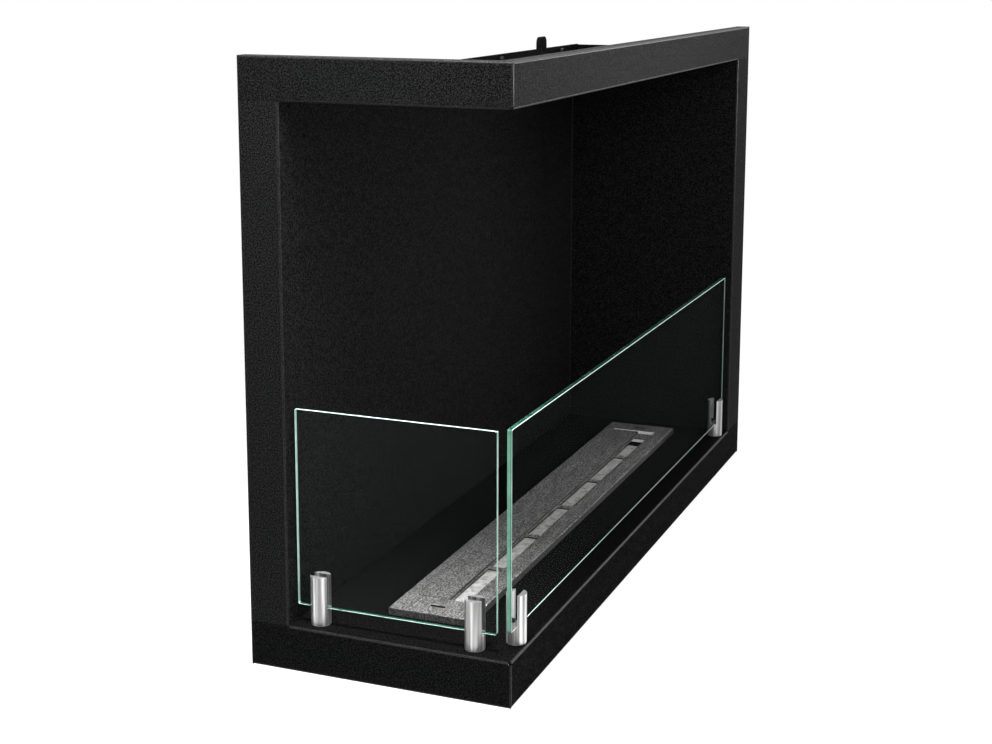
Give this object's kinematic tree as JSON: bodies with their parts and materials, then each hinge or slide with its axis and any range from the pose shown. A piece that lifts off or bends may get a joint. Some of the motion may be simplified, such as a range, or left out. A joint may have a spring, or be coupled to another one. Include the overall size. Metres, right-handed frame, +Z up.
{
  "type": "bioethanol fireplace",
  "caption": "Black steel built-in fireplace casing open at the front and left side, with low glass screens in slotted posts and a lift-out liquid-fuel burner with a sliding shutter.",
  "frame": {"origin": "middle of the base, on the surface the casing stands on", "axes": "+X along the long open front towards the closed end, +Y from the open front to the back panel, +Z up; the open short side is at -X"},
  "size_m": [0.9, 0.277, 0.605],
  "materials": {
    "powder_coat": "fine-grained satin black powder coat",
    "brushed_post": "brushed stainless steel",
    "burner_steel": "grey grained stainless steel",
    "zinc": "zinc-plated steel",
    "black_bolt": "blackened steel",
    "fibre": "matted white ceramic fibre",
    "clear_glass": "clear tempered glass with green edges"
  },
  "bodies": {
    "casing": {"floor_panel": "powder_coat", "ceiling_panel": "powder_coat", "back_panel": "powder_coat", "end_panel": "powder_coat", "lower_back_bolt_1": "black_bolt", "lower_back_bolt_2": "black_bolt", "lower_back_bolt_3": "black_bolt", "lower_back_bolt_4": "black_bolt", "lower_end_bolt_1": "black_bolt", "lower_end_bolt_2": "black_bolt", "upper_back_bolt_1": "black_bolt", "upper_back_bolt_2": "black_bolt", "upper_back_bolt_3": "black_bolt", "upper_back_bolt_4": "black_bolt", "upper_end_bolt_1": "black_bolt", "upper_end_bolt_2": "black_bolt", "lower_back_nut_1": "zinc", "lower_back_nut_2": "zinc", "lower_back_nut_3": "zinc", "lower_back_nut_4": "zinc", "lower_end_nut_1": "zinc", "lower_end_nut_2": "zinc", "upper_back_nut_1": "zinc", "upper_back_nut_2": "zinc", "upper_back_nut_3": "zinc", "upper_back_nut_4": "zinc", "upper_end_nut_1": "zinc", "upper_end_nut_2": "zinc", "front_left_post": "brushed_post", "front_left_grub_screw": "zinc", "front_left_washer": "zinc", "front_left_post_screw": "zinc", "front_right_post": "brushed_post", "front_right_grub_screw": "zinc", "front_right_washer": "zinc", "front_right_post_screw": "zinc", "side_front_post": "brushed_post", "side_front_grub_screw": "zinc", "side_front_washer": "zinc", "side_front_post_screw": "zinc", "side_rear_post": "brushed_post", "side_rear_grub_screw": "zinc", "side_rear_washer": "zinc", "side_rear_post_screw": "zinc"},
    "burner": {"burner_cover": "burner_steel", "burner_tank": "burner_steel", "wick_tray": "burner_steel", "fibre_wick": "fibre"},
    "shutter": {"burner_shutter": "burner_steel"},
    "front_pane": {"front_glass": "clear_glass"},
    "side_pane": {"side_glass": "clear_glass"}
  },
  "joints": [
    {"name": "burner_lift", "type": "slide", "parent": "casing", "child": "burner", "axis": [0, 0, 1], "range_m": [0, 0.1]},
    {"name": "shutter_slide", "type": "slide", "parent": "burner", "child": "shutter", "axis": [0, -1, 0], "range_m": [0, 0.0223]},
    {"name": "front_glass_lift", "type": "slide", "parent": "casing", "child": "front_pane", "axis": [0, 0, 1], "range_m": [0, 0.05]},
    {"name": "side_glass_lift", "type": "slide", "parent": "casing", "child": "side_pane", "axis": [0, 0, 1], "range_m": [0, 0.05]}
  ]
}
